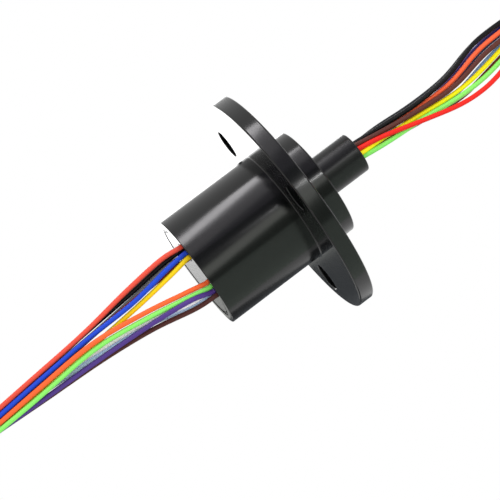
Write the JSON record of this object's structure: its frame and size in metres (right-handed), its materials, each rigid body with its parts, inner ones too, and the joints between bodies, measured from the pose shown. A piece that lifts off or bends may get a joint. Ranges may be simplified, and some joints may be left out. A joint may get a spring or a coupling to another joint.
{
  "type": "slip ring",
  "caption": "Flanged capsule slip ring that passes electric circuits through a rotating joint, with bundled leads at both ends.",
  "frame": {"origin": "centre of the flange's mounting face, on the barrel's side", "axes": "+Z along the axis of rotation, towards the rotor's collar; -Y towards the side by which the stator's leads leave the rear cap"},
  "size_m": [0.0703, 0.0444, 0.1726],
  "materials": {
    "black_plastic": "gloss",
    "cap_plastic": "gloss",
    "rotor_plastic": "gloss",
    "seal_resin": "semi-gloss",
    "board_green": "solder mask",
    "comb_plastic": "moulded",
    "brush_gold": "bright",
    "ring_gold": "bright",
    "barrier_plastic": "turned",
    "spring_steel": "blued",
    "bearing_steel": "ground",
    "ball_steel": "polished",
    "cage_brass": "satin",
    "tie_nylon": "moulded",
    "hank_bundle": "wound leads",
    "lead_red": "smooth insulation",
    "lead_black": "smooth insulation",
    "lead_blue": "smooth insulation",
    "lead_maroon": "smooth insulation",
    "lead_yellow": "smooth insulation",
    "lead_grey": "smooth insulation",
    "lead_orange": "smooth insulation",
    "lead_green": "smooth insulation",
    "lead_purple": "smooth insulation",
    "lead_white": "smooth insulation",
    "lead_sky": "smooth insulation",
    "lead_brown": "smooth insulation"
  },
  "bodies": {
    "stator": {"housing": "black_plastic", "rear_cap": "cap_plastic", "lead_seal_left": "seal_resin", "lead_seal_right": "seal_resin", "brush_board_left": "board_green", "brush_board_right": "board_green", "brush_comb_left": "comb_plastic", "brush_comb_right": "comb_plastic", "brushes_left": "brush_gold", "brushes_right": "brush_gold", "snap_ring": "spring_steel", "spring_washer": "spring_steel", "front_outer_race": "bearing_steel", "rear_outer_race": "bearing_steel", "stator_lead_red": "lead_red", "stator_lead_black": "lead_black", "stator_lead_blue": "lead_blue", "stator_lead_maroon": "lead_maroon", "stator_lead_yellow": "lead_yellow", "stator_lead_grey": "lead_grey", "stator_lead_orange": "lead_orange", "stator_lead_green": "lead_green", "stator_lead_purple": "lead_purple", "stator_lead_white": "lead_white", "stator_lead_sky": "lead_sky", "stator_lead_brown": "lead_brown", "stator_hank": "hank_bundle", "stator_tie": "tie_nylon"},
    "rotor": {"rotor_shaft": "rotor_plastic", "rotor_lead_black": "lead_black", "rotor_lead_brown": "lead_brown", "rotor_lead_orange": "lead_orange", "rotor_lead_red": "lead_red", "rotor_lead_yellow": "lead_yellow", "rotor_lead_green": "lead_green", "rotor_lead_grey": "lead_grey", "rotor_lead_blue": "lead_blue", "rotor_lead_purple": "lead_purple", "rotor_lead_white": "lead_white", "rotor_lead_sky": "lead_sky", "rotor_lead_maroon": "lead_maroon", "rotor_hank": "hank_bundle", "rotor_tie": "tie_nylon", "contact_rings": "ring_gold", "ring_barriers": "barrier_plastic", "ring_clamp": "rotor_plastic", "collar_seal": "seal_resin", "front_inner_race": "bearing_steel", "rear_inner_race": "bearing_steel"},
    "front_ball_cage": {"front_balls": "ball_steel", "front_cage": "cage_brass"},
    "rear_ball_cage": {"rear_balls": "ball_steel", "rear_cage": "cage_brass"}
  },
  "joints": [
    {"name": "rotor_spin", "type": "hinge", "parent": "stator", "child": "rotor", "pos_m": [0, 0, 0], "axis": [0, 0, 1], "continuous": true},
    {"name": "front_cage_spin", "type": "hinge", "parent": "stator", "child": "front_ball_cage", "pos_m": [0, 0, 0.005], "axis": [0, 0, 1], "continuous": true},
    {"name": "rear_cage_spin", "type": "hinge", "parent": "stator", "child": "rear_ball_cage", "pos_m": [0, 0, -0.01585], "axis": [0, 0, 1], "continuous": true}
  ],
  "couplings": [
    {"joint": "front_cage_spin", "follows": "rotor_spin", "ratio": 0.41539},
    {"joint": "rear_cage_spin", "follows": "rotor_spin", "ratio": 0.39231}
  ]
}
